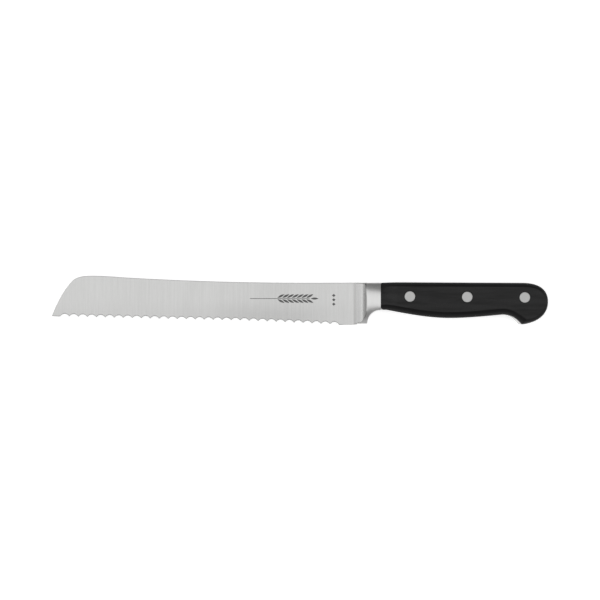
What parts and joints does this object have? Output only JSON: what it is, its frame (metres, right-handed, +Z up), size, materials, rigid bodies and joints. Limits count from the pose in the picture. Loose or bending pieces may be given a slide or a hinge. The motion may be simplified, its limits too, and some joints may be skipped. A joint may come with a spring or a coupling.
{
  "type": "bread knife",
  "caption": "Bread knife with a scalloped forged blade, a full bolster and tang, and black riveted handle scales.",
  "frame": {"origin": "bottom centre of the bounding box, on the surface that the knife lies on with its right side down", "axes": "+X from the blade's tip to the handle's butt, +Y from the cutting edge to the spine, +Z up through the knife's thickness to its left side"},
  "size_m": [0.32, 0.0317, 0.0185],
  "materials": {
    "steel": "satin, with fine brush lines across the blade",
    "handle": "black moulded plastic with a fine matt grain",
    "rivet": "satin, ground flush with the handle"
  },
  "bodies": {
    "root": {"blade_and_tang": "steel", "left_scale": "handle", "right_scale": "handle", "front_rivet_female": "rivet", "front_rivet_male": "rivet", "middle_rivet_female": "rivet", "middle_rivet_male": "rivet", "rear_rivet_female": "rivet", "rear_rivet_male": "rivet"}
  },
  "joints": []
}
